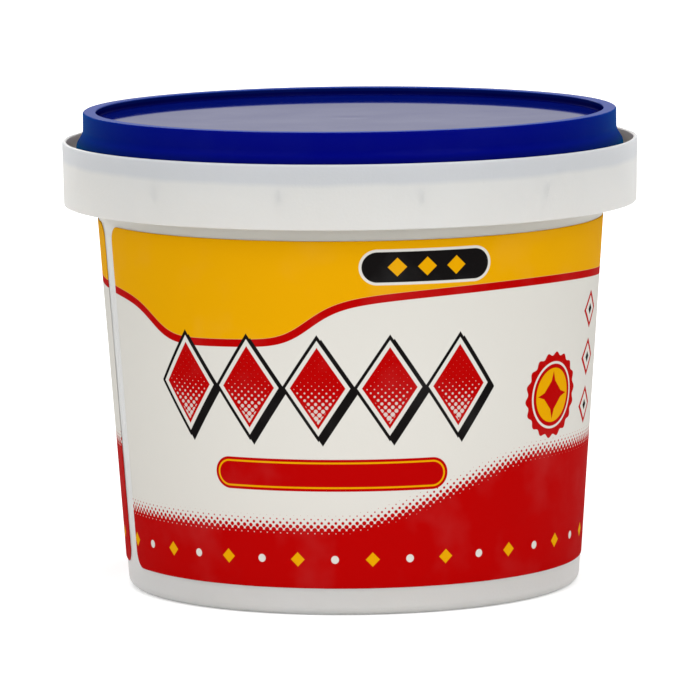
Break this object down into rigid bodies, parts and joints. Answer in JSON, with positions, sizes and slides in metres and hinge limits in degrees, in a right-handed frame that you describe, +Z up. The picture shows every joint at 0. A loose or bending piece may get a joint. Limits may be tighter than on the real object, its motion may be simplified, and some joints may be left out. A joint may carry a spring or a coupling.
{
  "type": "wall filler tub",
  "caption": "Round tapered filler tub with a wide collar round its rim, a press-on lid with a sunk panel, a break-out tab, a wrap label and the paste inside.",
  "frame": {"origin": "centre of the tub's foot, on the surface that it stands on", "axes": "+Z up along the tub's axis, towards the lid; the front of the label faces -Y and the break-out tab is at +Y"},
  "size_m": [0.12, 0.12, 0.0993],
  "materials": {
    "tub_plastic": "satin",
    "lid_plastic": "satin",
    "label_film": "satin",
    "filler_paste": "matte"
  },
  "bodies": {
    "tub": {"tub": "tub_plastic", "wrap_label": "label_film", "filler": "filler_paste"},
    "lid": {"lid": "lid_plastic"},
    "tamper_tab": {"tamper_tab": "tub_plastic"}
  },
  "joints": [
    {"name": "lid_lift", "type": "slide", "parent": "tub", "child": "lid", "axis": [0, 0, 1], "range_m": [0, 0.05]},
    {"name": "tab_pull", "type": "slide", "parent": "tub", "child": "tamper_tab", "axis": [0, 1, 0], "range_m": [0, 0.03]}
  ]
}
